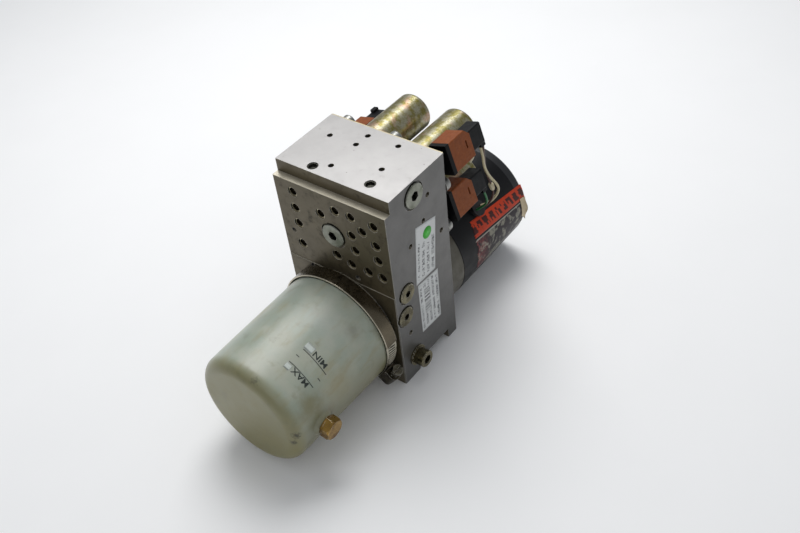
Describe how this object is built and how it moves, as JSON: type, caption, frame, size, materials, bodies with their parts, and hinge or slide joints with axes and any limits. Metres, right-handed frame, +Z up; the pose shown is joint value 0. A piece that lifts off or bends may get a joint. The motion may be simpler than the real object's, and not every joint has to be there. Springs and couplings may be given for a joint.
{
  "type": "hydraulic power unit",
  "caption": "Compact hydraulic power unit: drilled manifold block with a clamped plastic oil tank, gear pump, direct-current motor and solenoid valves.",
  "frame": {"origin": "on the surface the unit stands on, under the shaft, in the middle of the front foot", "axes": "+X to the right of the block seen from the tank, +Y from the tank to the motor along the shaft, +Z up"},
  "size_m": [0.145, 0.337, 0.202],
  "materials": {
    "block_aluminium": "milled, lightly stained",
    "plug_steel": "greenish grey plating",
    "plug_steel_small": "plated",
    "expander_steel": "turned",
    "zinc_screw": "yellow zinc",
    "bright_screw": "bright",
    "hard_steel": "ground",
    "ball_steel": "polished",
    "spring_steel": "drawn wire",
    "label_film": "printed film",
    "tank_plastic": "milky, oil stained",
    "seal_rubber": "moulded",
    "brass": "turned",
    "band_steel": "dull, bright edges",
    "housing_steel": "pressed, dull",
    "clamp_zinc": "zinc plated",
    "pump_aluminium": "die cast and milled",
    "bush_bronze": "sintered",
    "gear_steel": "hardened and ground",
    "strainer_plastic": "mesh",
    "tube_plastic": "drawn tube",
    "cast_aluminium": "as cast",
    "black_paint": "satin black",
    "cap_paint": "satin black",
    "bolt_steel": "zinc plated",
    "ferrite": "sintered ferrite",
    "shaft_steel": "ground",
    "laminations": "stacked sheet",
    "copper_winding": "enamelled copper",
    "copper_bars": "turned copper",
    "coupling_steel": "turned",
    "bearing_steel": "ground",
    "plate_plastic": "moulded phenolic",
    "carbon": "pressed carbon",
    "insulator": "moulded",
    "stud_copper": "plated",
    "tube_steel": "turned",
    "coil_plastic": "moulded",
    "can_plate": "chromate plating",
    "box_plastic": "moulded, terracotta",
    "connector_plastic": "moulded",
    "cream_insulation": "soft insulation",
    "brown_insulation": "soft insulation",
    "green_insulation": "soft insulation"
  },
  "bodies": {
    "unit": {"manifold_block": "block_aluminium", "port_plugs": "plug_steel", "gauge_plugs": "plug_steel_small", "expander_plugs": "expander_steel", "side_screw": "zinc_screw", "rear_screws": "bright_screw", "relief_spring": "spring_steel", "check_spring": "spring_steel", "labels": "label_film", "tank_shell": "tank_plastic", "tank_seal": "seal_rubber", "drain_plug": "brass", "clamp_band": "band_steel", "clamp_housing": "housing_steel", "pump_body": "pump_aluminium", "pump_cover": "pump_aluminium", "pump_screws": "bolt_steel", "pump_bushes": "bush_bronze", "shaft_seal": "seal_rubber", "suction_strainer": "strainer_plastic", "return_tube": "tube_plastic", "end_shield": "cast_aluminium", "motor_housing": "black_paint", "rear_cap": "cap_paint", "motor_screws": "bolt_steel", "field_magnets": "ferrite", "motor_bearings": "bearing_steel", "brush_plate": "plate_plastic", "brushes": "carbon", "brush_springs": "spring_steel", "terminal_insulators": "insulator", "terminal_studs": "stud_copper", "core_tubes": "tube_steel", "solenoid_coils": "coil_plastic", "valve_plugs": "connector_plastic", "cream_lead": "cream_insulation", "brown_lead": "brown_insulation", "green_lead": "green_insulation", "solenoid_can_upper_left": "can_plate", "return_spring_upper_left": "spring_steel", "terminal_box_upper_left": "box_plastic", "solenoid_can_upper_right": "can_plate", "return_spring_upper_right": "spring_steel", "terminal_box_upper_right": "box_plastic", "solenoid_can_lower_right": "can_plate", "return_spring_lower_right": "spring_steel", "terminal_box_lower_right": "box_plastic"},
    "rotor": {"motor_shaft": "shaft_steel", "armature_core": "laminations", "armature_windings": "copper_winding", "commutator": "copper_bars", "shaft_coupling": "coupling_steel", "drive_gear": "gear_steel"},
    "idler": {"driven_gear": "gear_steel"},
    "plunger_upper_left": {"plunger_upper_left": "hard_steel"},
    "plunger_upper_right": {"plunger_upper_right": "hard_steel"},
    "plunger_lower_right": {"plunger_lower_right": "hard_steel"},
    "relief": {"relief_poppet": "hard_steel"},
    "check": {"check_ball": "ball_steel"},
    "clamp_screw": {"clamp_screw": "clamp_zinc"}
  },
  "joints": [
    {"name": "motor_spin", "type": "hinge", "parent": "unit", "child": "rotor", "pos_m": [0, 0, 0.056], "axis": [0, 1, 0], "continuous": true},
    {"name": "driven_gear_spin", "type": "hinge", "parent": "unit", "child": "idler", "pos_m": [0, 0, 0.036], "axis": [0, 1, 0], "continuous": true},
    {"name": "plunger_upper_left_slide", "type": "slide", "parent": "unit", "child": "plunger_upper_left", "axis": [0, 1, 0], "range_m": [0, 0.003], "stiffness_N_per_m": 600, "springref_m": -0.004, "deforming": ["return_spring_upper_left"]},
    {"name": "plunger_upper_right_slide", "type": "slide", "parent": "unit", "child": "plunger_upper_right", "axis": [0, 1, 0], "range_m": [0, 0.003], "stiffness_N_per_m": 600, "springref_m": -0.004, "deforming": ["return_spring_upper_right"]},
    {"name": "plunger_lower_right_slide", "type": "slide", "parent": "unit", "child": "plunger_lower_right", "axis": [0, 1, 0], "range_m": [0, 0.003], "stiffness_N_per_m": 600, "springref_m": -0.004, "deforming": ["return_spring_lower_right"]},
    {"name": "relief_slide", "type": "slide", "parent": "unit", "child": "relief", "axis": [0, -1, 0], "range_m": [0, 0.002], "stiffness_N_per_m": 2000, "springref_m": -0.004, "deforming": ["relief_spring"]},
    {"name": "check_ball_slide", "type": "slide", "parent": "unit", "child": "check", "axis": [1, 0, 0], "range_m": [0, 0.003], "stiffness_N_per_m": 200, "springref_m": -0.004, "deforming": ["check_spring"]},
    {"name": "clamp_screw_turn", "type": "hinge", "parent": "unit", "child": "clamp_screw", "pos_m": [0.04999, -0.0213, 0.01833], "axis": [0.6018, 0, 0.7986], "continuous": true}
  ],
  "couplings": [
    {"joint": "driven_gear_spin", "follows": "motor_spin", "ratio": -1}
  ]
}
